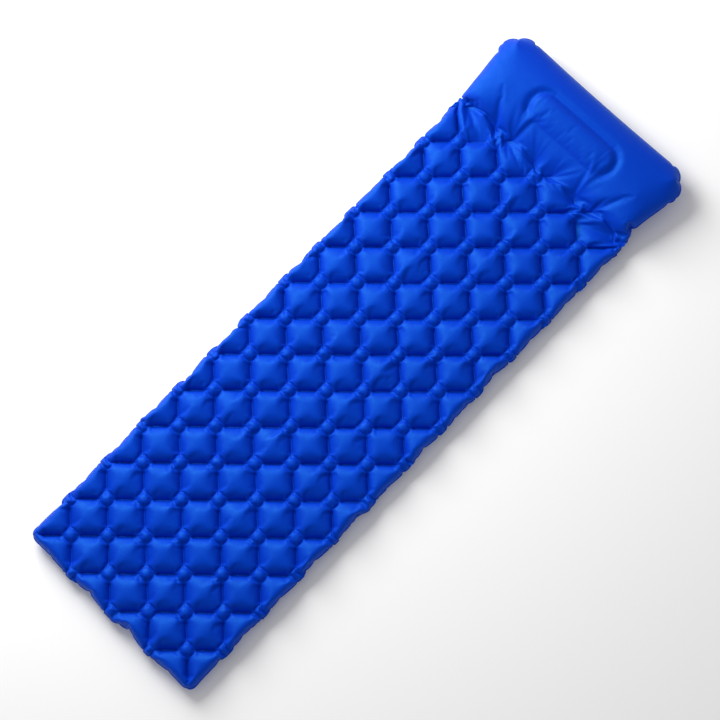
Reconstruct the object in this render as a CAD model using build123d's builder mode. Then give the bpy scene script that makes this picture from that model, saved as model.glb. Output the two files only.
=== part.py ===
"""Inflatable sleeping mat with a built-in pillow.

Two coated fabric panels are welded together round a narrow margin and along a lattice of short bars.
The head end has no bars, so it swells into a pillow, with an oval baffle inside that holds down a dent for the head.
A push-in valve of two stages sits in the sloping underside of the pillow.

Frame: +Z up, +Y towards the head, origin at the middle of the underside. Millimetres.
"""

import os
from math import atan2, degrees, hypot

from build123d import *

# ---- overall sizes -------------------------------------------------------------------------------------------
LENGTH = 1900.0  # over the weld margins
MAT_WIDTH = 600.0
PILLOW_WIDTH = 630.0
MAT_THICKNESS = 55.0
PILLOW_THICKNESS = 100.0
PILLOW_LENGTH = 247.0
FABRIC = 1.0  # panel wall
MARGIN = 4.0  # weld margin that stands out round the whole edge

FOOT_Y = -LENGTH / 2 + MARGIN  # where the inflated part begins and ends
HEAD_Y = LENGTH / 2 - MARGIN
WAIST_Y = LENGTH / 2 - PILLOW_LENGTH

MAT_EDGE_RADIUS = 24.0
MAT_CORNER_RADIUS = 34.0
PILLOW_EDGE_RADIUS = 44.0
PILLOW_CORNER_RADIUS = 56.0
WAIST_OVERLAP = 6.0  # how far mat and pillow run into each other at the waist
SLOPE_RUN = 60.0  # the pillow's underside slopes up to the head end
SLOPE_RISE = 50.0

# ---- the seam between the two panels --------------------------------------------------------------------------
MAT_SEAM_Z = MAT_THICKNESS / 2
PILLOW_SEAM_Z = 56.0
SEAM_RAMP = (WAIST_Y - 30, WAIST_Y + 40)

# ---- quilting: short weld bars between the nodes of a diagonal lattice ----------------------------------------
PITCH_ALONG = 67.2  # half a diagonal of one cushion, along the mat
PITCH_ACROSS = 72.5
FIRST_NODE_Y = FOOT_Y + 13.0
NODE_COLUMNS = 25
NODE_ROWS = 9  # across the width, the outer ones on the long edges
BAR_LENGTH = 62.0
BAR_WIDTH = 5.0
BAR_DEPTH = 0.4
EDGE_CLEARANCE = 3.0  # between a bar and the rounding of the edge

# ---- dent for the head, and its baffle ------------------------------------------------------------------------
DENT_LENGTH = 292.0
DENT_WIDTH = 88.0
DENT_DEPTH = 12.0
DENT_Y = 824.0
BAFFLE_INSET = 6.0
BAFFLE_WALL = 1.0
BAFFLE_HOLE_RADIUS = 9.0
BAFFLE_HOLE_SPACING = 90.0

# ---- valve, in its own frame: origin on the fabric's outer face, z out of the mat, x down the slope ----------
VALVE_X = -200.0
VALVE_UP_SLOPE = 8.0  # from the middle of the slope towards the seam
BASE_RADIUS = 22.0
BASE_THICKNESS = 1.2
NECK_RADIUS = 14.6
NECK_CLEARANCE = 0.3  # of the hole in the panel
NECK_TOP = 11.0
THROAT_RADIUS = 11.5

PLUG_HEAD_RADIUS = 14.2
PLUG_HEAD_BOTTOM = 11.2
PLUG_HEAD_TOP = 13.0
PLUG_SKIRT_BOTTOM = 6.0
PLUG_SKIRT_RADII = (11.3, 10.7)  # under its head and at its lower end
PLUG_TUBE_RADIUS = 8.0
PLUG_TUBE_BOTTOM = 0.2
PORT_RADIUS = 7.0  # where a pump nozzle seats
PORT_SPAN = (4.5, 9.5)
LIP_RADIUS = 7.5  # the wider mouth that the cap closes
LEDGE_RADIUS = 6.3  # stops the nozzle
SPIDER_TOP = 1.4
SPOKE_WIDTH = 1.6
HUB_RADIUS = 2.2
STEM_HOLE_RADIUS = 0.9

FLAP_RADIUS = 7.6
FLAP_THICKNESS = 0.8
FLAP_GAP = 0.05
FLAP_TRAVEL = 1.3
STEM_RADIUS = 0.8
STEM_BULB_RADIUS = 1.3
STEM_BULB_HEIGHT = 0.8

CAP_RADIUS = 9.2
CAP_BOTTOM = 13.15
CAP_TOP = 14.8
CAP_STUB_RADII = (7.35, 6.8)
CAP_STUB_BOTTOM = 9.8
CAP_HOLLOW_RADIUS = 5.4
TAB_REACH = 13.6
TAB_WIDTH = 7.0

TETHER_THICKNESS = 1.2
HINGE_GAP = 0.3
PLUG_HINGE_X = -17.0  # each tether bends about the middle of its rounded end
PLUG_TETHER_WIDTH = 9.0
CAP_HINGE_X = -11.9
CAP_TETHER_WIDTH = 6.0
ANCHOR_LENGTH = 2.6
PLUG_ANCHOR_BOTTOM = 8.0

SEAL_DEPTH = 0.7
THROAT_SEAL_RADII = (12.6, 14.0)
CAP_SEAL_RADII = (7.8, 8.6)
CAP_SEAL_DEPTH = 0.5


def save(shape, name):
    """Labels one finished piece and writes its STEP file."""
    shape.label = name
    export_step(shape, f"parts/{name}.step")
    return shape


# ---- frames ---------------------------------------------------------------------------------------------------
SLOPE_SPAN = hypot(SLOPE_RUN, SLOPE_RISE)
SLOPE = Plane(
    origin=(0, HEAD_Y - SLOPE_RUN / 2, SLOPE_RISE / 2),
    x_dir=(1, 0, 0),
    z_dir=(0, SLOPE_RISE / SLOPE_SPAN, -SLOPE_RUN / SLOPE_SPAN),
)
VALVE = Plane(
    origin=SLOPE.from_local_coords((VALVE_X, -VALVE_UP_SLOPE, 0)),
    x_dir=SLOPE.y_dir,
    z_dir=SLOPE.z_dir,
)


# ---- the inflated body ----------------------------------------------------------------------------------------
def mat_body(inset):
    """The mat without its pillow, pulled in by inset on every side."""
    width = MAT_WIDTH - 2 * MARGIN - 2 * inset
    length = WAIST_Y + WAIST_OVERLAP - FOOT_Y - 2 * inset
    middle_y = (WAIST_Y + WAIST_OVERLAP + FOOT_Y) / 2
    with BuildPart() as mat:
        with BuildSketch(Plane.XY.offset(inset)):
            with Locations((0, middle_y)):
                RectangleRounded(width, length, MAT_CORNER_RADIUS - inset)
        extrude(amount=MAT_THICKNESS - 2 * inset)
        flat_faces = mat.faces().filter_by(Axis.Z)
        fillet(flat_faces.edges(), MAT_EDGE_RADIUS - inset)
    return mat.part


def pillow_body(inset):
    """The pillow with its dent, pulled in by inset on every side."""
    width = PILLOW_WIDTH - 2 * MARGIN - 2 * inset
    length = HEAD_Y - WAIST_Y + WAIST_OVERLAP - 2 * inset
    middle_y = (HEAD_Y + WAIST_Y - WAIST_OVERLAP) / 2
    with BuildPart() as pillow:
        with BuildSketch(Plane.XY.offset(inset)):
            with Locations((0, middle_y)):
                RectangleRounded(width, length, PILLOW_CORNER_RADIUS - inset)
        extrude(amount=PILLOW_THICKNESS - 2 * inset)
        flat_faces = pillow.faces().filter_by(Axis.Z)
        fillet(flat_faces.edges(), PILLOW_EDGE_RADIUS - inset)
        with BuildSketch(SLOPE.offset(-inset)):
            Rectangle(PILLOW_WIDTH, PILLOW_LENGTH)
        extrude(amount=PILLOW_LENGTH, mode=Mode.SUBTRACT)
        with BuildSketch(Plane.XY.offset(PILLOW_THICKNESS - DENT_DEPTH - inset)):
            with Locations((0, DENT_Y)):
                SlotOverall(DENT_LENGTH + 2 * inset, DENT_WIDTH + 2 * inset)
        extrude(amount=DENT_DEPTH + inset, mode=Mode.SUBTRACT)
    return pillow.part


def inflated_body(inset):
    """Mat and pillow together, pulled in by inset."""
    with BuildPart() as body:
        add(mat_body(inset))
        add(pillow_body(inset))
    return body.part


def above_seam(lift):
    """Everything above the surface that the seam lies in, raised by lift."""
    far = LENGTH
    with BuildPart() as above:
        with BuildSketch(Plane.YZ):
            with BuildLine():
                Polyline(
                    (-far, MAT_SEAM_Z + lift),
                    (SEAM_RAMP[0], MAT_SEAM_Z + lift),
                    (SEAM_RAMP[1], PILLOW_SEAM_Z + lift),
                    (far, PILLOW_SEAM_Z + lift),
                    (far, far),
                    (-far, far),
                    close=True,
                )
            make_face()
        extrude(amount=PILLOW_WIDTH, both=True)
    return above.part


def weld_margin(body):
    """The flat rim of both panels' thickness that runs round the outline of the inflated body."""
    with BuildPart() as margin:
        with BuildSketch():
            with Locations((0, (WAIST_Y - LENGTH / 2) / 2)):
                RectangleRounded(MAT_WIDTH, LENGTH / 2 + WAIST_Y, MAT_CORNER_RADIUS + MARGIN)
            with Locations((0, (WAIST_Y - WAIST_OVERLAP + LENGTH / 2) / 2)):
                RectangleRounded(PILLOW_WIDTH, PILLOW_LENGTH + WAIST_OVERLAP, PILLOW_CORNER_RADIUS + MARGIN)
        extrude(amount=PILLOW_THICKNESS)
        add(above_seam(-FABRIC), mode=Mode.INTERSECT)
        add(above_seam(FABRIC), mode=Mode.SUBTRACT)
        add(body, mode=Mode.SUBTRACT)
    return margin.part


# ---- quilting -------------------------------------------------------------------------------------------------
def weld_bars():
    """The place and direction of every weld bar, halfway between two nodes of the lattice."""
    slant = degrees(atan2(PITCH_ALONG, PITCH_ACROSS))
    half_rows = NODE_ROWS // 2
    bars = []
    for column in range(NODE_COLUMNS - 1):
        for row in range(-half_rows, half_rows):
            x = (row + 0.5) * PITCH_ACROSS
            y = FIRST_NODE_Y + (column + 0.5) * PITCH_ALONG
            rising = (column + row) % 2 == 0  # a node has its column and its row both even or both odd
            bars.append(Location((x, y, 0), (0, 0, slant if rising else -slant)))
    return bars


def bar_grooves(bottom):
    """The shallow grooves pressed by the weld bars, on the flat part of one face of the mat."""
    clear = MARGIN + MAT_EDGE_RADIUS + EDGE_CLEARANCE
    with BuildPart() as grooves:
        with BuildSketch(Plane.XY.offset(bottom)):
            with Locations(weld_bars()):
                SlotOverall(BAR_LENGTH, BAR_WIDTH)
            with Locations((0, (WAIST_Y - LENGTH / 2) / 2)):
                Rectangle(MAT_WIDTH - 2 * clear, LENGTH / 2 + WAIST_Y - 2 * clear, mode=Mode.INTERSECT)
        extrude(amount=BAR_DEPTH)
    return grooves.part


# ---- valve parts ----------------------------------------------------------------------------------------------
def disc(bottom, top, radius, mode=Mode.ADD):
    """A round slice of the valve, for the part being built."""
    with BuildSketch(VALVE.offset(bottom)) as circle:
        Circle(radius)
    extrude(circle.sketch, amount=top - bottom, mode=mode)


def ring(bottom, top, radii, mode=Mode.ADD):
    """A round slice with a hole through it."""
    with BuildSketch(VALVE.offset(bottom)) as annulus:
        Circle(max(radii))
        Circle(min(radii), mode=Mode.SUBTRACT)
    extrude(annulus.sketch, amount=top - bottom, mode=mode)


def block(bottom, top, start_x, end_x, width):
    """A straight-sided lug along the line of the tethers."""
    with BuildSketch(VALVE.offset(bottom)) as outline:
        with Locations(((start_x + end_x) / 2, 0)):
            Rectangle(abs(end_x - start_x), width)
    extrude(outline.sketch, amount=top - bottom)


def tapered_stopper(top, bottom, radii):
    """A stopper that narrows from its head to its lower end."""
    with BuildSketch(VALVE.offset(top)) as head:
        Circle(radii[0])
    with BuildSketch(VALVE.offset(bottom)) as lower_end:
        Circle(radii[1])
    loft([head.sketch, lower_end.sketch])


def tether(start_x, hinge_x, bottom, width):
    """A flat strap from start_x to its hinge line, where its end is rounded about that line."""
    side = Plane(origin=VALVE.origin, x_dir=VALVE.x_dir, z_dir=-VALVE.y_dir)
    with BuildPart() as strap:
        with BuildSketch(side):
            with Locations(((start_x + hinge_x) / 2, bottom + TETHER_THICKNESS / 2)):
                SlotCenterToCenter(start_x - hinge_x, TETHER_THICKNESS)
        extrude(amount=width / 2, both=True)
    return strap


# ---- panels ---------------------------------------------------------------------------------------------------
os.makedirs("parts", exist_ok=True)
inflated = inflated_body(0)
air_space = inflated_body(FABRIC)

with BuildPart() as skin:
    add(inflated)
    add(weld_margin(inflated))
    add(air_space, mode=Mode.SUBTRACT)

with BuildPart() as top_panel:
    add(skin.part)
    add(above_seam(0), mode=Mode.INTERSECT)
    add(bar_grooves(MAT_THICKNESS - BAR_DEPTH), mode=Mode.SUBTRACT)
save(top_panel.part, "top_panel")

with BuildPart() as bottom_panel:
    add(skin.part)
    add(above_seam(0), mode=Mode.SUBTRACT)
    add(bar_grooves(0), mode=Mode.SUBTRACT)
    disc(-2 * FABRIC, FABRIC, NECK_RADIUS + NECK_CLEARANCE, mode=Mode.SUBTRACT)
save(bottom_panel.part, "bottom_panel")

# ---- baffle that holds the dent down --------------------------------------------------------------------------
with BuildPart() as headrest_baffle:
    baffle_top = PILLOW_THICKNESS - DENT_DEPTH - FABRIC
    hollow_inset = BAFFLE_INSET + BAFFLE_WALL
    with BuildSketch(Plane.XY.offset(FABRIC)):
        with Locations((0, DENT_Y)):
            SlotOverall(DENT_LENGTH - 2 * BAFFLE_INSET, DENT_WIDTH - 2 * BAFFLE_INSET)
            SlotOverall(DENT_LENGTH - 2 * hollow_inset, DENT_WIDTH - 2 * hollow_inset, mode=Mode.SUBTRACT)
    extrude(amount=baffle_top - FABRIC)
    with BuildSketch(Plane.XZ.offset(-DENT_Y)):
        with Locations((0, (FABRIC + baffle_top) / 2)):
            with GridLocations(BAFFLE_HOLE_SPACING, 1, 3, 1):
                Circle(BAFFLE_HOLE_RADIUS)
    extrude(amount=DENT_WIDTH, both=True, mode=Mode.SUBTRACT)
save(headrest_baffle.part, "headrest_baffle")

# ---- valve base, its flange welded inside the bottom panel ----------------------------------------------------
base_bottom = -FABRIC - BASE_THICKNESS
plug_tether_top = PLUG_HEAD_BOTTOM + TETHER_THICKNESS
plug_anchor_x = PLUG_HINGE_X - TETHER_THICKNESS / 2 - HINGE_GAP

with BuildPart() as valve_base:
    disc(base_bottom, -FABRIC, BASE_RADIUS)
    disc(base_bottom, NECK_TOP, NECK_RADIUS)
    block(PLUG_ANCHOR_BOTTOM, NECK_TOP, -THROAT_RADIUS, plug_anchor_x - ANCHOR_LENGTH, PLUG_TETHER_WIDTH)
    block(NECK_TOP, plug_tether_top, plug_anchor_x, plug_anchor_x - ANCHOR_LENGTH, PLUG_TETHER_WIDTH)
    disc(base_bottom, NECK_TOP, THROAT_RADIUS, mode=Mode.SUBTRACT)
    ring(NECK_TOP - SEAL_DEPTH, NECK_TOP, THROAT_SEAL_RADII, mode=Mode.SUBTRACT)
save(valve_base.part, "valve_base")

with BuildPart() as throat_seal:
    ring(NECK_TOP - SEAL_DEPTH, (NECK_TOP + PLUG_HEAD_BOTTOM) / 2, THROAT_SEAL_RADII)
save(throat_seal.part, "throat_seal")

# ---- deflation plug, the wide stage ---------------------------------------------------------------------------
cap_anchor_x = CAP_HINGE_X - TETHER_THICKNESS / 2 - HINGE_GAP
cap_anchor_top = CAP_BOTTOM + TETHER_THICKNESS

with BuildPart() as deflation_plug:
    disc(PLUG_HEAD_BOTTOM, PLUG_HEAD_TOP, PLUG_HEAD_RADIUS)
    tapered_stopper(PLUG_HEAD_BOTTOM, PLUG_SKIRT_BOTTOM, PLUG_SKIRT_RADII)
    disc(PLUG_TUBE_BOTTOM, PLUG_SKIRT_BOTTOM, PLUG_TUBE_RADIUS)
    block(PLUG_HEAD_TOP, cap_anchor_top, cap_anchor_x, cap_anchor_x - ANCHOR_LENGTH / 2, CAP_TETHER_WIDTH)
    disc(PLUG_TUBE_BOTTOM, PORT_SPAN[0], LEDGE_RADIUS, mode=Mode.SUBTRACT)
    disc(PORT_SPAN[0], PORT_SPAN[1], PORT_RADIUS, mode=Mode.SUBTRACT)
    disc(PORT_SPAN[1], PLUG_HEAD_TOP, LIP_RADIUS, mode=Mode.SUBTRACT)
    with BuildSketch(VALVE.offset(PLUG_TUBE_BOTTOM)):
        spoke_length = LEDGE_RADIUS + PLUG_TUBE_RADIUS
        Rectangle(spoke_length, SPOKE_WIDTH)
        Rectangle(SPOKE_WIDTH, spoke_length)
        Circle(HUB_RADIUS)
        Circle(STEM_HOLE_RADIUS, mode=Mode.SUBTRACT)
    extrude(amount=SPIDER_TOP - PLUG_TUBE_BOTTOM)
save(deflation_plug.part, "deflation_plug")

plug_tether_start = -PLUG_HEAD_RADIUS + ANCHOR_LENGTH / 2
plug_tether = tether(plug_tether_start, PLUG_HINGE_X, PLUG_HEAD_BOTTOM, PLUG_TETHER_WIDTH)
with plug_tether:
    disc(PLUG_HEAD_BOTTOM, PLUG_HEAD_TOP, PLUG_HEAD_RADIUS, mode=Mode.SUBTRACT)
save(plug_tether.part, "plug_tether")

# ---- one-way flap ---------------------------------------------------------------------------------------------
flap_top = PLUG_TUBE_BOTTOM - FLAP_GAP
bulb_bottom = SPIDER_TOP + FLAP_TRAVEL + FLAP_GAP

with BuildPart() as one_way_flap:
    disc(flap_top - FLAP_THICKNESS, flap_top, FLAP_RADIUS)
    disc(flap_top, bulb_bottom, STEM_RADIUS)
    disc(bulb_bottom, bulb_bottom + STEM_BULB_HEIGHT, STEM_BULB_RADIUS)
save(one_way_flap.part, "one_way_flap")

# ---- inflation cap, the narrow stage --------------------------------------------------------------------------
with BuildPart() as inflation_cap:
    disc(CAP_BOTTOM, CAP_TOP, CAP_RADIUS)
    with BuildSketch(VALVE.offset(CAP_BOTTOM)):
        with Locations((TAB_REACH / 2, 0)):
            SlotOverall(TAB_REACH, TAB_WIDTH)
    extrude(amount=CAP_TOP - CAP_BOTTOM)
    tapered_stopper(CAP_BOTTOM, CAP_STUB_BOTTOM, CAP_STUB_RADII)
    disc(CAP_STUB_BOTTOM, CAP_BOTTOM, CAP_HOLLOW_RADIUS, mode=Mode.SUBTRACT)
    ring(CAP_BOTTOM, CAP_BOTTOM + CAP_SEAL_DEPTH, CAP_SEAL_RADII, mode=Mode.SUBTRACT)
save(inflation_cap.part, "inflation_cap")

with BuildPart() as cap_seal:
    ring(PLUG_HEAD_TOP + FLAP_GAP, CAP_BOTTOM + CAP_SEAL_DEPTH, CAP_SEAL_RADII)
save(cap_seal.part, "cap_seal")

cap_tether = tether(-CAP_RADIUS + ANCHOR_LENGTH / 2, CAP_HINGE_X, CAP_BOTTOM, CAP_TETHER_WIDTH)
with cap_tether:
    disc(CAP_BOTTOM, CAP_TOP, CAP_RADIUS, mode=Mode.SUBTRACT)
save(cap_tether.part, "cap_tether")

# ---- places that the joints and mounts use --------------------------------------------------------------------
print("valve axis out", VALVE.z_dir, "down the slope", VALVE.x_dir)
for name, x, z in (
    ("plug hinge", PLUG_HINGE_X, PLUG_HEAD_BOTTOM + TETHER_THICKNESS / 2),
    ("cap hinge", CAP_HINGE_X, CAP_BOTTOM + TETHER_THICKNESS / 2),
    ("middle of the pump port", 0, sum(PORT_SPAN) / 2),
    ("middle of the flap", 0, flap_top),
):
    print(name, VALVE.from_local_coords(Vector(x, 0, z)))
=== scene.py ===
"""The looks of an inflatable sleeping mat with a built-in pillow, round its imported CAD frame.

The cloth is cut flat, welded along short bars and round its edge, and blown up by a cloth simulation.
Sizes are in metres, in the row frame: +Y towards the pillow, the mat resting on z = 0.
"""

import math

import bmesh
import bpy
import numpy as np
from mathutils import Matrix, Vector


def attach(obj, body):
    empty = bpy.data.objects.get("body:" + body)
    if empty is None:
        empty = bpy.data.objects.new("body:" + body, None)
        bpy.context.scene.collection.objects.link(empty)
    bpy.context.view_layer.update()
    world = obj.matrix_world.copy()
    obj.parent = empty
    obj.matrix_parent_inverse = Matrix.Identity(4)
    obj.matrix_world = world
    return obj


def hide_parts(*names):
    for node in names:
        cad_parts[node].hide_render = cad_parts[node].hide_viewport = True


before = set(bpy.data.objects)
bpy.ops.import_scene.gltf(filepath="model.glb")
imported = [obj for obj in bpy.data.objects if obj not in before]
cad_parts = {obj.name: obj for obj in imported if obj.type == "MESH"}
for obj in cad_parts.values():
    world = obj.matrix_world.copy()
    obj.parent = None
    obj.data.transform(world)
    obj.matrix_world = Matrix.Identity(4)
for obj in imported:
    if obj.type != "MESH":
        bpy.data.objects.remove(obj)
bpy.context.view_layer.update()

# Quilting: weld bars lie across half-pitch squares, leaning left and right in turn, and their ends
# stop short of the crossing points, where small square knobs of cloth stand between them.
PITCH_ALONG = 0.0672
PITCH_ACROSS = 0.0725
PITCHES = np.array([PITCH_ACROSS, PITCH_ALONG])
HALF_ROWS = 4
COLUMNS = 24
FIRST_NODE_Y = -0.933
BAR_LENGTH = 0.048
BAR_HALF_WIDTH = 0.0019
BAR_WOBBLE = 0.0008
BAR_TURN = 0.008

# The flat cut, as a grid. Blown-up cloth is shorter than the cut by about CUT_EASE.
GRID = 14
CUT_EASE = 1.14
CUT_STEPS = PITCHES * CUT_EASE / GRID
BAR_STEPS = 3
STUB_STEPS = 2
SIDE_STEPS = 3
FOOT_STEPS = 3
HEAD_CORNER_CUT = 0.100
FOOT_CORNER_CUT = 0.045

# Where the edge is held beside its knobs.
SIDE_EDGE_X = 0.302
FOOT_EDGE_Y = FIRST_NODE_Y - 0.0135
KNOB_EDGE_STEPS = 2

# The pillow, from the foot end on: a dimpled valley, the straight near crease of its oval dent, and the
# head edge. A cut length is measured from the one before.
VALLEY_CUT = 0.028
VALLEY_Y = 0.703
VALLEY_DEEP = 0.010
VALLEY_SHALLOW = 0.020
VALLEY_BEND = 0.0025
VALLEY_WOBBLE = 0.0015
CREASE_CUT = 0.083
CREASE_HEIGHT = 0.040
CREASE_HALF = 0.102
CREASE_EASE = 1.01
HEAD_CUT = 0.212
PILLOW_TAPER = 0.055
PILLOW_FLARE = 0.055
OVAL_Y = 0.822
OVAL_HALF_WIDTH = 0.044
OVAL_HALF_LENGTH = 0.146
OVAL_VALLEY = 0.008
OVAL_VALLEY_WIDTH = 0.011
OVAL_CROWN = 0.004
OVAL_SOFT_SIDE = (-0.9, 0.3)

# Colours of the cloth, and its threads: wave bands are 0.314 apart at scale 1.
CLOTH_DEEP = (0.0002, 0.016, 0.440, 1)
CLOTH_BRIGHT = (0.0003, 0.025, 0.500, 1)
CLOTH_THREAD = (0.0006, 0.036, 0.560, 1)
CLOTH_FUSED = (0.0001, 0.004, 0.340, 1)
THREAD_SPACING = 0.0006
THREAD_SCALE = math.pi / 10 / THREAD_SPACING

# The cloth's relief and gloss, and how far its weave and its fused bars change them.
WEAVE_HEIGHT = 0.00005
SLUB_HEIGHT = 0.00003
CRUMPLE_HEIGHT = 0.0007
CLOTH_ROUGHNESS = (0.53, 0.65)
WEAVE_SHARE = 0.35
FUSED_SHARE = 0.55
FUSED_GLOSS = 0.10

# Relief of moulded plastic.
PIT_HEIGHT = 0.00003
FLOW_HEIGHT = 0.00006

# Heights of the finished mat.
MAT_MIDDLE = 0.0275
MAT_HALF_HEIGHT = 0.0272
PILLOW_MIDDLE = 0.054
PILLOW_TOP = 0.100
PILLOW_RISE = (0.690, 0.765)
FLOOR_SOFTNESS = 0.0012
FLOOR_LIFT = 0.3
CLOTH_HALF_GAP = 0.0004

# The rim outside the welded edge, and the film band inside the pillow.
RIM_WIDTH = 0.0020
RIM_TUCK = 0.0012
RIM_THICKNESS = 0.0012
FILM_INSET = 0.006
FILM_CLEARANCE = 0.0015
FILM_AROUND = 96
FILM_LEVELS = 9
AIR_HOLE_RADIUS = 0.009
AIR_HOLE_SPACING = 0.090

# Round a hole, faces are made finer as far as HOLE_PATCH radii, and edges within HOLE_LIP are rounded.
HOLE_PATCH = 2
HOLE_LIP = 1.6

# Inflation: the simulation runs ten times life size, which suits the solver's units. The flat cut starts
# with its valley only VALLEY_DRAG past its drawn-in place, as a longer drag throws the pillow over the mat.
SIM_SCALE = 10.0
SIM_FRAMES = 50
DRAW_IN_FRAMES = 20
VALLEY_DRAG = 0.080
SIM_QUALITY = 5
CLOTH_MASS = 0.3
CLOTH_STIFFNESS = 40.0
CLOTH_DAMPING = 5.0
CLOTH_BENDING = 0.2
AIR_PRESSURE = 4.0
SEED = 7

# The valve in the underside of the pillow's head end.
VALVE_PLACE = np.array([-0.200, 0.922146, 0.030122])
VALVE_OUT = np.array([0.0, 0.640184, -0.768221])
VALVE_UP_SLOPE = np.array([0.0, 0.768221, 0.640184])
VALVE_HOLE = 0.0149
VALVE_FLAT = 0.0235
VALVE_BLEND_HEAD = 0.033
VALVE_BLEND_FOOT = 0.065
VALVE_REACH = 0.03

# The camera: the way from the mat to it, the way up in its picture, and what it looks at.
CAMERA_AWAY = Vector((0.203, -0.117, 0.972)).normalized()
CAMERA_UP = Vector((-0.668, 0.710, 0.225))
CAMERA_DISTANCE = 6.62
CAMERA_LENS = 125.0
CAMERA_AIM = Vector((0.007, -0.004, 0.03))
SENSOR_WIDTH = 36.0

# The studio: a soft key light from the mat's left, an even sky, and a pale floor just below the mat.
KEY_PLACE = (-2.4, 0.4, 1.7)
KEY_SIZE = 2.0
KEY_POWER = 140
SKY_COLOUR = (1, 1, 1, 1)
SKY_STRENGTH = 0.46
FLOOR_COLOUR = (0.93, 0.93, 0.93, 1)
FLOOR_HALF = 9.0
FLOOR_Z = -0.001


def smooth_step(x, low, high):
    """0 below low, 1 above high, and a smooth rise between."""
    t = np.clip((x - low) / (high - low), 0, 1)
    return t * t * (3 - 2 * t)


def mix(a, b, share):
    return a + (b - a) * share


class Cut:
    """One flat sheet on a grid: its places, what is welded to the other sheet, and what is held where."""

    def __init__(self):
        self.across = 2 * (HALF_ROWS * GRID + SIDE_STEPS)
        self.last_node = FOOT_STEPS + COLUMNS * GRID
        self.valley = self.last_node + round(VALLEY_CUT / CUT_STEPS[1])
        self.crease = self.valley + round(CREASE_CUT / CUT_STEPS[1])
        self.along = self.crease + round(HEAD_CUT / CUT_STEPS[1])
        i, j = np.meshgrid(range(self.across + 1), range(self.along + 1), indexing="ij")
        self.flat = np.stack([i - self.across / 2, j - FOOT_STEPS], -1) * CUT_STEPS
        self.joined = (i == 0) | (i == self.across) | (j == 0) | (j == self.along)
        self.held = np.zeros(i.shape, bool)
        self.bar = np.zeros(i.shape, bool)
        self.drawn = np.zeros(i.shape + (3,))

    def node(self, row, column):
        """Grid place of a lattice point."""
        return SIDE_STEPS + (row + HALF_ROWS) * GRID, FOOT_STEPS + column * GRID

    def hold(self, i, j, x, y, z=0.0):
        self.held[i, j] = True
        self.drawn[i, j] = (x, y, z)


def weld_bars(cut, rng):
    """Lays a bar of three grid lines across each half-pitch square, and stubs where the pillow starts."""
    slope = PITCHES / np.linalg.norm(PITCHES)
    step = BAR_LENGTH / 2 / BAR_STEPS
    for row in range(-HALF_ROWS, HALF_ROWS):
        for column in range(COLUMNS + 1):
            lean = 1 if (row + column) % 2 == 0 else -1
            middle = np.array([row + 0.5, column + 0.5]) * PITCHES
            ease = rng.normal(0, BAR_WOBBLE, 2)
            angle = rng.normal(0, BAR_TURN)
            run = np.array([slope[0], lean * slope[1]])
            turn = np.array([[math.cos(angle), -math.sin(angle)], [math.sin(angle), math.cos(angle)]])
            drawn_run = turn @ run
            for aside in (-1, 0, 1):
                reach = BAR_STEPS - abs(aside) / 2
                length = 2 * reach if column < COLUMNS else STUB_STEPS
                for passed in np.arange(length + 0.1):
                    along = lean * (passed - reach)
                    i, j = cut.node(row + 0.5, column + 0.5)
                    i = round(i + along - aside / 2)
                    j = round(j + lean * (along + aside / 2))
                    offset = aside * BAR_HALF_WIDTH * lean
                    cut.flat[i, j] = middle * CUT_EASE + run * along * step
                    cut.flat[i, j] += np.array([-run[1], run[0]]) * offset
                    place = middle + ease + drawn_run * along * step
                    place += np.array([-drawn_run[1], drawn_run[0]]) * offset
                    cut.hold(i, j, place[0], place[1] + FIRST_NODE_Y)
                    cut.joined[i, j] = cut.bar[i, j] = True


def shape_pillow(cut):
    """Takes the cut in where the pillow starts, and lets it out again towards the head."""
    j = np.arange(cut.along + 1)
    cut.flat[..., 0] *= 1 - PILLOW_TAPER * smooth_step(j, cut.last_node, cut.valley)
    cut.flat[..., 0] *= 1 + PILLOW_FLARE * smooth_step(j, cut.valley, cut.along)


def round_corners(cut, radius, end):
    """Rounds the two corners of the cut at end 0, the foot, or 1, the head."""
    reach = np.maximum(1, np.round(radius / CUT_STEPS)) * CUT_STEPS
    for side in (-1, 1):
        corner = cut.flat[cut.across if side > 0 else 0, cut.along if end else 0].copy()
        away = np.array([side, 1 if end else -1])
        centre = corner - away * reach
        local = (cut.flat - centre) * away / reach
        inside = (local > 0).all(-1) & ~cut.bar
        pull = local.max(-1) / np.maximum(np.hypot(local[..., 0], local[..., 1]), 1e-9)
        moved = centre + (cut.flat - centre) * pull[..., None]
        cut.flat[inside] = moved[inside]


def hold_edges(cut):
    """Holds the edge beside each knob that lies on it."""
    for column in range(0, COLUMNS + 1, 2):
        for side in (-1, 1):
            i = cut.across if side > 0 else 0
            j = cut.node(side * HALF_ROWS, column)[1]
            for step in range(-KNOB_EDGE_STEPS, KNOB_EDGE_STEPS + 1):
                if column > 0:
                    y = FIRST_NODE_Y + (column + step / GRID) * PITCH_ALONG
                    cut.hold(i, j + step, side * SIDE_EDGE_X, y)
    for row in range(2 - HALF_ROWS, HALF_ROWS, 2):
        for step in range(-KNOB_EDGE_STEPS, KNOB_EDGE_STEPS + 1):
            i = cut.node(row, 0)[0] + step
            cut.hold(i, 0, (row + step / GRID) * PITCH_ACROSS, FOOT_EDGE_Y)


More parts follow.
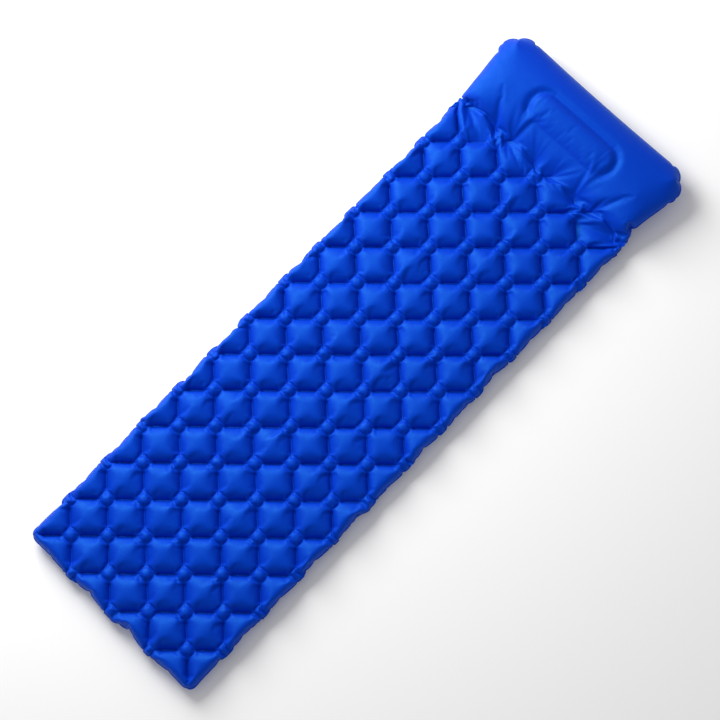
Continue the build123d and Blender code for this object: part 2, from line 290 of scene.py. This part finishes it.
def hold_pillow(cut, rng):
    """Holds the dimples of the valley where the pillow starts, and the crease of its dent."""
    for row in range(1 - HALF_ROWS, HALF_ROWS):
        over_cell = row % 2
        x, y = rng.normal((row * PITCH_ACROSS, VALLEY_Y + over_cell * VALLEY_BEND), VALLEY_WOBBLE)
        cut.hold(cut.node(row, 0)[0], cut.valley, x, y, VALLEY_SHALLOW if over_cell else VALLEY_DEEP)
    for side, i in ((-1, 0), (1, cut.across)):
        cut.hold(i, cut.valley, side * SIDE_EDGE_X, VALLEY_Y + VALLEY_BEND)
    for i in range(cut.across + 1):
        x = cut.flat[i, cut.crease, 0] / CREASE_EASE
        if abs(x) <= CREASE_HALF:
            cut.hold(i, cut.crease, x, OVAL_Y - OVAL_HALF_WIDTH, CREASE_HEIGHT)


def cut_cloth():
    rng = np.random.default_rng(SEED)
    cut = Cut()
    weld_bars(cut, rng)
    shape_pillow(cut)
    round_corners(cut, HEAD_CORNER_CUT, 1)
    round_corners(cut, FOOT_CORNER_CUT, 0)
    hold_edges(cut)
    hold_pillow(cut, rng)
    return cut


def grid_faces(cut):
    """Corners of the grid's faces. Those beside a bar are split along it, so that cloth can fold there."""
    faces = []
    for i in range(cut.across):
        for j in range(cut.along):
            corners = [(i, j), (i + 1, j), (i + 1, j + 1), (i, j + 1)]
            row, column = (i - SIDE_STEPS) // GRID - HALF_ROWS, (j - FOOT_STEPS) // GRID
            on_bar = [c for c in corners if cut.bar[c]]
            if len(on_bar) < 2:
                faces.append(corners)
            elif (row + column) % 2 == 0:
                faces.append([corners[0], corners[1], corners[2]])
                faces.append([corners[0], corners[2], corners[3]])
            else:
                faces.append([corners[0], corners[1], corners[3]])
                faces.append([corners[1], corners[2], corners[3]])
    return faces


def inflate(cut, faces):
    """Blows the two welded sheets up. Returns the top's and the bottom's places on the grid."""
    index = np.zeros((2,) + cut.joined.shape, int)
    starts, targets, held = [], [], []
    shift = VALLEY_Y + VALLEY_DRAG - cut.flat[0, cut.valley, 1]
    for i, j in np.ndindex(cut.joined.shape):
        for layer, side in enumerate((1, -1)):
            if layer == 1 and cut.joined[i, j]:
                index[1, i, j] = index[0, i, j]
                continue
            gap = 0.0 if cut.joined[i, j] else side * CLOTH_HALF_GAP
            start = [cut.flat[i, j, 0], cut.flat[i, j, 1] + shift, gap]
            index[layer, i, j] = len(starts)
            if cut.held[i, j]:
                held.append(len(starts))
                targets.append(cut.drawn[i, j] * (1, 1, side))
            else:
                targets.append(start)
            starts.append(start)
    polygons = [[int(index[0][c]) for c in face] for face in faces]
    for face in faces:
        if not all(cut.joined[c] for c in face):
            polygons.append([int(index[1][c]) for c in reversed(face)])
    mesh = bpy.data.meshes.new("inflating")
    mesh.from_pydata((np.array(starts) * SIM_SCALE).tolist(), [], polygons)
    body = bpy.data.objects.new("inflating", mesh)
    bpy.context.scene.collection.objects.link(body)
    body.vertex_groups.new(name="held").add(held, 1.0, "REPLACE")
    body.shape_key_add(name="flat")
    drawn = body.shape_key_add(name="drawn")
    drawn.data.foreach_set("co", (np.array(targets) * SIM_SCALE).ravel())
    for value, at in ((0.0, 1), (1.0, DRAW_IN_FRAMES)):
        drawn.value = value
        drawn.keyframe_insert("value", frame=at)
    blow_up(body)
    depsgraph = bpy.context.evaluated_depsgraph_get()
    result = bpy.data.meshes.new_from_object(body.evaluated_get(depsgraph))
    places = np.empty(len(result.vertices) * 3)
    result.vertices.foreach_get("co", places)
    bpy.data.objects.remove(body)
    bpy.context.scene.frame_set(1)
    return places.reshape(-1, 3)[index] / SIM_SCALE


def blow_up(body):
    """Runs Blender's cloth on body, with air pressure inside and no gravity."""
    cloth = body.modifiers.new("cloth", "CLOTH")
    settings = cloth.settings
    settings.quality = SIM_QUALITY
    settings.mass = CLOTH_MASS
    settings.air_damping = 1.0
    for way in ("tension", "compression", "shear"):
        setattr(settings, way + "_stiffness", CLOTH_STIFFNESS)
        setattr(settings, way + "_damping", CLOTH_DAMPING)
    settings.bending_stiffness = CLOTH_BENDING
    settings.vertex_group_mass = "held"
    settings.pin_stiffness = 1.0
    settings.use_pressure = True
    settings.uniform_pressure_force = AIR_PRESSURE
    settings.effector_weights.gravity = 0.0
    cloth.point_cache.frame_end = SIM_FRAMES
    for at in range(1, SIM_FRAMES + 1):
        bpy.context.scene.frame_set(at)


def settle(places):
    """Gives the blown-up sheets the heights of a mat lying on the floor, and shapes the oval dent."""
    top, bottom = places[0].copy(), places[1].copy()
    pillow = smooth_step(top[..., 1], *PILLOW_RISE)
    on_mat = pillow == 0
    mat_scale = MAT_HALF_HEIGHT / np.percentile(top[..., 2][on_mat], 99.8)
    top_scale = mix(mat_scale, (PILLOW_TOP - PILLOW_MIDDLE) / top[..., 2].max(), pillow)
    pillow = smooth_step(bottom[..., 1], *PILLOW_RISE)
    bottom_scale = mix(mat_scale, PILLOW_MIDDLE / -bottom[..., 2].min(), pillow)
    for sheet, scale in ((top, top_scale), (bottom, bottom_scale)):
        middle = mix(MAT_MIDDLE, PILLOW_MIDDLE, smooth_step(sheet[..., 1], *PILLOW_RISE))
        sheet[..., 2] = middle + sheet[..., 2] * scale
    top[..., 2] += oval_dent(top[..., 0], top[..., 1])
    rest_on_floor(bottom)
    return top, bottom


def oval_dent(x, y):
    """Height to add round the pillow's oval: a soft valley on its far side and ends, and a crown inside."""
    over_end = np.maximum(np.abs(x) - (OVAL_HALF_LENGTH - OVAL_HALF_WIDTH), 0)
    from_axis = np.hypot(over_end, y - OVAL_Y)
    valley = np.exp(-(((from_axis - OVAL_HALF_WIDTH) / OVAL_VALLEY_WIDTH) ** 2))
    soft_side = smooth_step((y - OVAL_Y) / OVAL_HALF_WIDTH + over_end / OVAL_HALF_WIDTH, *OVAL_SOFT_SIDE)
    crown = np.clip(1 - (from_axis / OVAL_HALF_WIDTH) ** 2, 0, 1)
    return OVAL_CROWN * crown - OVAL_VALLEY * valley * soft_side


def rest_on_floor(sheet):
    """Flattens what would sink into the floor."""
    sheet[..., 2] = FLOOR_SOFTNESS * np.logaddexp(sheet[..., 2] / FLOOR_SOFTNESS, FLOOR_LIFT)


def seat_valve(bottom):
    """Draws the cloth round the valve onto the valve's flat."""
    away = bottom - VALVE_PLACE
    out = away @ VALVE_OUT
    up_slope = away @ VALVE_UP_SLOPE
    radius = np.hypot(away[..., 0], up_slope)
    limit = mix(VALVE_BLEND_FOOT, VALVE_BLEND_HEAD, np.clip(up_slope / VALVE_FLAT, 0, 1))
    near = 1 - smooth_step(radius, VALVE_FLAT, limit)
    near[np.abs(out) > VALVE_REACH] = 0
    bottom -= VALVE_OUT * (near * (out + CLOTH_HALF_GAP))[..., None]


def make_object(name, vertices, faces):
    mesh = bpy.data.meshes.new(name)
    mesh.from_pydata([tuple(v) for v in vertices], [], faces)
    mesh.update()
    mesh.polygons.foreach_set("use_smooth", [True] * len(mesh.polygons))
    made = bpy.data.objects.new(name, mesh)
    bpy.context.scene.collection.objects.link(made)
    return made


def cloth_piece(name, cut, sheet, faces, side):
    """One sheet as a mesh. Each point carries its place in the flat cut and whether it is welded."""
    rows = sheet.shape[1]
    lifted = sheet.copy()
    lifted[..., 2] += np.where(cut.joined, side * CLOTH_HALF_GAP, 0)
    order = 1 if side > 0 else -1
    polygons = [[i * rows + j for i, j in face[::order]] for face in faces]
    piece = make_object(name, lifted.reshape(-1, 3), polygons)
    place = piece.data.attributes.new("cut", "FLOAT_VECTOR", "POINT")
    flat = np.zeros(sheet.shape, np.float32)
    flat[..., :2] = cut.flat
    place.data.foreach_set("vector", flat.ravel())
    weld = piece.data.attributes.new("weld", "FLOAT", "POINT")
    weld.data.foreach_set("value", cut.joined.astype(np.float32).ravel())
    fine = piece.modifiers.new("fine", "SUBSURF")
    fine.levels = fine.render_levels = 1
    fine.boundary_smooth = "PRESERVE_CORNERS"
    return piece


def open_hole(piece, place, out, radius):
    """Opens a round hole in a piece, in a patch of finer faces."""
    bm = bmesh.new()
    bm.from_mesh(piece.data)
    place, out = Vector(place), Vector(out)
    patch = HOLE_PATCH * radius
    lip = HOLE_LIP * radius

    def from_axis(point):
        away = point - place
        return (away - out * away.dot(out)).length if abs(away.dot(out)) < radius else math.inf

    near = [f for f in bm.faces if from_axis(f.calc_center_median()) < patch]
    edges = list({e for f in near for e in f.edges})
    bmesh.ops.subdivide_edges(bm, edges=edges, cuts=1, use_grid_fill=True)
    inside = [f for f in bm.faces if from_axis(f.calc_center_median()) < radius]
    bmesh.ops.delete(bm, geom=inside, context="FACES")
    for vertex in bm.verts:
        if vertex.is_boundary and from_axis(vertex.co) < lip:
            away = vertex.co - place
            level = out * away.dot(out)
            vertex.co = place + level + (away - level).normalized() * radius
    bm.to_mesh(piece.data)
    bm.free()


def edge_loop(cut):
    """Grid places round the edge of the cut, anticlockwise seen from above."""
    foot = [(i, 0) for i in range(cut.across)]
    right = [(cut.across, j) for j in range(cut.along)]
    head = [(i, cut.along) for i in range(cut.across, 0, -1)]
    left = [(0, j) for j in range(cut.along, 0, -1)]
    return foot + right + head + left


def seam_rim(cut, sheet):
    """The thin flat rim outside the welded edge."""
    loop = np.array([sheet[place] for place in edge_loop(cut)])
    run = np.roll(loop, -2, 0) - np.roll(loop, 2, 0)
    out = np.stack([run[:, 1], -run[:, 0]], -1)
    out /= np.linalg.norm(out, axis=1)[:, None]
    rings = []
    for reach, height in ((-RIM_TUCK, 1), (RIM_WIDTH, 1), (RIM_WIDTH, -1), (-RIM_TUCK, -1)):
        ring = loop.copy()
        ring[:, :2] += out * reach
        ring[:, 2] += height * RIM_THICKNESS / 2
        rings.append(ring)
    count = len(loop)
    faces = []
    for side in range(4):
        for k in range(count):
            following = (k + 1) % count
            first, second = side * count, (side + 1) % 4 * count
            faces.append([first + k, first + following, second + following, second + k])
    rim = make_object("seam_rim", np.concatenate(rings), [face[::-1] for face in faces])
    fine = rim.modifiers.new("fine", "SUBSURF")
    fine.levels = fine.render_levels = 1
    return rim


def height_at(sheet, x, y):
    """A sheet's height at its grid place nearest to x, y."""
    away = np.hypot(sheet[..., 0] - x, sheet[..., 1] - y)
    return sheet[..., 2].flat[away.argmin()]


def baffle_film(top, bottom):
    """The oval band of film inside the pillow that ties the sheets together, with its air holes."""
    straight = OVAL_HALF_LENGTH - OVAL_HALF_WIDTH
    radius = OVAL_HALF_WIDTH - FILM_INSET
    points = []
    for k in range(FILM_AROUND):
        angle = 2 * math.pi * k / FILM_AROUND
        reach = radius / max(abs(math.sin(angle)), radius / (straight + radius))
        x, y = reach * math.cos(angle), reach * math.sin(angle)
        over_end = abs(x) - straight
        if over_end > 0:
            y = math.copysign(math.sqrt(max(radius**2 - over_end**2, 0)), y) if abs(y) > 1e-9 else 0.0
        points.append((x, OVAL_Y + y))
    vertices = []
    for x, y in points:
        low = height_at(bottom, x, y) + FILM_CLEARANCE
        high = height_at(top, x, y) - FILM_CLEARANCE
        for level in np.linspace(low, high, FILM_LEVELS):
            vertices.append((x, y, level))
    faces = []
    for k in range(FILM_AROUND):
        following = (k + 1) % FILM_AROUND
        for level in range(FILM_LEVELS - 1):
            a, b = k * FILM_LEVELS + level, following * FILM_LEVELS + level
            faces.append([a, b, b + 1, a + 1])
    film = make_object("baffle_band", vertices, faces)
    middle = (height_at(top, 0, OVAL_Y - radius) + height_at(bottom, 0, OVAL_Y - radius)) / 2
    for column in (-1, 0, 1):
        open_hole(film, (column * AIR_HOLE_SPACING, OVAL_Y - radius, middle), (0, -1, 0), AIR_HOLE_RADIUS)
    return film


def build_cloth():
    """Makes the two cloths, the rim round them and the film between them."""
    cut = cut_cloth()
    faces = grid_faces(cut)
    places = inflate(cut, faces)
    top, bottom = settle(places)
    seat_valve(bottom)
    upper = cloth_piece("top_cloth", cut, top, faces, 1)
    lower = cloth_piece("bottom_cloth", cut, bottom, faces, -1)
    open_hole(lower, VALVE_PLACE, VALVE_OUT, VALVE_HOLE)
    return upper, lower, seam_rim(cut, top), baffle_film(top, bottom)


class Shader:
    """A new material with a Principled surface, and short calls to add nodes to it."""

    def __init__(self, name, **surface):
        self.material = bpy.data.materials.new(name)
        self.material.use_nodes = True
        self.tree = self.material.node_tree
        self.surface = self.tree.nodes["Principled BSDF"]
        self.feed(self.surface, surface)

    def feed(self, node, inputs):
        """Sets a node's inputs, by name or number: an output socket is linked, anything else is a value."""
        for key, value in inputs.items():
            socket = node.inputs[key.replace("_", " ") if isinstance(key, str) else key]
            if isinstance(value, bpy.types.NodeSocket):
                self.tree.links.new(value, socket)
            else:
                socket.default_value = value

    def node(self, kind, inputs, **settings):
        made = self.tree.nodes.new(kind)
        for key, value in settings.items():
            setattr(made, key, value)
        self.feed(made, inputs)
        return made.outputs

    def math(self, operation, a, b):
        return self.node("ShaderNodeMath", {0: a, 1: b}, operation=operation)[0]

    def remap(self, value, low, high, to_low, to_high):
        return self.node("ShaderNodeMapRange", {0: value, 1: low, 2: high, 3: to_low, 4: to_high})[0]

    def blend(self, share, a, b):
        """Mixes two colours."""
        mixer = self.tree.nodes.new("ShaderNodeMix")
        mixer.data_type = "RGBA"
        self.feed(mixer, {0: share, 6: a, 7: b})
        return mixer.outputs[2]

    def noise(self, vector, scale, detail, **more):
        inputs = {"Vector": vector, "Scale": scale, "Detail": detail, **more}
        return self.node("ShaderNodeTexNoise", inputs)["Fac"]

    def bump(self, height):
        """Shades by a height in metres."""
        normal = self.node("ShaderNodeBump", {"Height": height, "Strength": 1.0, "Distance": 1.0})["Normal"]
        self.feed(self.surface, {"Normal": normal})


def cloth_material():
    """Coated nylon: a fine weave along the cut, a soft sheen, smoother fused bars and faint crumples."""
    shader = Shader("coated_nylon", Specular_IOR_Level=0.55, Sheen_Weight=0.12, Sheen_Roughness=0.45)
    shader.surface.inputs["Specular Tint"].default_value = (0.04, 0.75, 0.9, 1)
    shader.surface.inputs["Sheen Tint"].default_value = (0.01, 0.60, 0.8, 1)
    cut = shader.node("ShaderNodeAttribute", {}, attribute_name="cut")["Vector"]
    weld = shader.node("ShaderNodeAttribute", {}, attribute_name="weld")["Fac"]
    place = shader.node("ShaderNodeTexCoord", {})["Object"]
    tone = shader.noise(place, 5.0, 3.0)
    thread = {"Vector": cut, "Scale": THREAD_SCALE, "Distortion": 0.6, "Detail": 1.0, "Detail_Scale": 0.4}
    warp = shader.node("ShaderNodeTexWave", thread, bands_direction="X")["Fac"]
    weft = shader.node("ShaderNodeTexWave", thread, bands_direction="Y")["Fac"]
    weave = shader.math("MULTIPLY", warp, weft)
    slub = shader.noise(cut, 900.0, 2.0)
    blue = shader.blend(tone, CLOTH_DEEP, CLOTH_BRIGHT)
    blue = shader.blend(shader.math("MULTIPLY", weave, WEAVE_SHARE), blue, CLOTH_THREAD)
    blue = shader.blend(shader.math("MULTIPLY", weld, FUSED_SHARE), blue, CLOTH_FUSED)
    shader.feed(shader.surface, {"Base_Color": blue})
    crumple = shader.noise(cut, 55.0, 5.0, Roughness=0.6)
    rough = shader.remap(crumple, 0.3, 0.7, *CLOTH_ROUGHNESS)
    rough = shader.math("SUBTRACT", rough, shader.math("MULTIPLY", weld, FUSED_GLOSS))
    shader.feed(shader.surface, {"Roughness": rough})
    height = shader.math("MULTIPLY", weave, WEAVE_HEIGHT)
    height = shader.math("ADD", height, shader.math("MULTIPLY", slub, SLUB_HEIGHT))
    height = shader.math("ADD", height, shader.math("MULTIPLY", crumple, CRUMPLE_HEIGHT))
    shader.bump(height)
    return shader.material


def film_material():
    """Milky film, a little uneven."""
    shader = Shader("milky_film", Transmission_Weight=0.35, Subsurface_Weight=0.1, IOR=1.48)
    place = shader.node("ShaderNodeTexCoord", {})["Object"]
    haze = shader.noise(place, 40.0, 3.0)
    milky = shader.blend(haze, (0.74, 0.80, 0.86, 1), (0.88, 0.91, 0.94, 1))
    shader.feed(shader.surface, {"Base_Color": milky})
    shader.feed(shader.surface, {"Roughness": shader.remap(haze, 0.3, 0.7, 0.28, 0.42)})
    shader.bump(shader.math("MULTIPLY", haze, 0.0006))
    return shader.material


def moulded_material(name, dark, light, rough, grain=1.0):
    """Moulded plastic or rubber: fine spark-eroded grain, slow flow marks and pale scuffs."""
    shader = Shader(name, Specular_IOR_Level=0.5)
    place = shader.node("ShaderNodeTexCoord", {})["Object"]
    flow = shader.noise(place, 90.0, 2.0, Distortion=0.8)
    fine = shader.noise(place, 2600.0, 3.0)
    pits = shader.node("ShaderNodeTexVoronoi", {"Vector": place, "Scale": 1900.0})["Distance"]
    scuff = shader.noise(place, 420.0, 5.0, Roughness=0.7)
    colour = shader.blend(flow, dark, light)
    worn = shader.remap(scuff, 0.62, 0.75, 0.0, 0.25)
    colour = shader.blend(worn, colour, tuple(min(1.0, c * 1.8 + 0.02) for c in light[:3]) + (1,))
    shader.feed(shader.surface, {"Base_Color": colour})
    shader.feed(shader.surface, {"Roughness": shader.remap(fine, 0.3, 0.7, rough - 0.06, rough + 0.08)})
    height = shader.math("MULTIPLY", pits, PIT_HEIGHT * grain)
    height = shader.math("ADD", height, shader.math("MULTIPLY", flow, FLOW_HEIGHT * grain))
    shader.bump(height)
    return shader.material


def place_light(name, place, size, power):
    """A square soft light aimed at the mat's middle."""
    data = bpy.data.lights.new(name, "AREA")
    data.size = size
    data.energy = power
    lamp = bpy.data.objects.new(name, data)
    lamp.location = place
    lamp.rotation_euler = Vector(place).to_track_quat("Z", "Y").to_euler()
    bpy.context.scene.collection.objects.link(lamp)


def place_camera():
    data = bpy.data.cameras.new("camera")
    data.lens = CAMERA_LENS
    data.sensor_width = SENSOR_WIDTH
    camera = bpy.data.objects.new("camera", data)
    bpy.context.scene.collection.objects.link(camera)
    right = CAMERA_UP.cross(CAMERA_AWAY).normalized()
    turn = Matrix([right, CAMERA_AWAY.cross(right), CAMERA_AWAY]).transposed()
    camera.rotation_euler = turn.to_euler()
    camera.location = CAMERA_AIM + CAMERA_AWAY * CAMERA_DISTANCE
    bpy.context.scene.camera = camera


def build_stage():
    corners = [(x, y, FLOOR_Z) for y in (-FLOOR_HALF, FLOOR_HALF) for x in (-FLOOR_HALF, FLOOR_HALF)]
    floor = make_object("floor", corners, [(0, 1, 3, 2)])
    shader = Shader("pale_floor", Roughness=0.9)
    shader.surface.inputs["Base Color"].default_value = FLOOR_COLOUR
    floor.data.materials.append(shader.material)
    world = bpy.data.worlds.new("studio")
    bpy.context.scene.world = world
    world.use_nodes = True
    sky = world.node_tree.nodes["Background"]
    sky.inputs["Color"].default_value = SKY_COLOUR
    sky.inputs["Strength"].default_value = SKY_STRENGTH
    place_light("key", KEY_PLACE, KEY_SIZE, KEY_POWER)
    bpy.context.scene.view_settings.view_transform = "Standard"


def fit_cloth():
    """Puts the soft pieces in place of their CAD solids."""
    upper, lower, rim, film = build_cloth()
    nylon = cloth_material()
    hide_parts("top_panel")
    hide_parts("bottom_panel")
    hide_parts("headrest_baffle")
    for piece, slot, material in (
        (upper, "coated_cloth", nylon),
        (lower, "coated_cloth", nylon),
        (rim, "coated_cloth", nylon),
        (film, "baffle_film", film_material()),
    ):
        piece.data.materials.append(material)
        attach(piece, "mattress")


def finish_valve():
    """Gives the carried-over valve parts their materials."""
    black = moulded_material("valve_black", (0.010, 0.011, 0.013, 1), (0.022, 0.024, 0.028, 1), 0.42)
    grey = moulded_material("cap_grey", (0.085, 0.095, 0.110, 1), (0.120, 0.130, 0.150, 1), 0.38)
    rubber = moulded_material("seal_rubber", (0.30, 0.31, 0.32, 1), (0.42, 0.43, 0.44, 1), 0.55, 0.4)
    finishes = {
        "valve_base": black,
        "deflation_plug": black,
        "plug_tether": black,
        "inflation_cap": grey,
        "cap_tether": grey,
        "throat_seal": rubber,
        "cap_seal": rubber,
        "one_way_flap": rubber,
    }
    for node, material in finishes.items():
        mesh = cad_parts[node].data
        mesh.materials.clear()
        mesh.materials.append(material)


fit_cloth()
finish_valve()
place_camera()
build_stage()
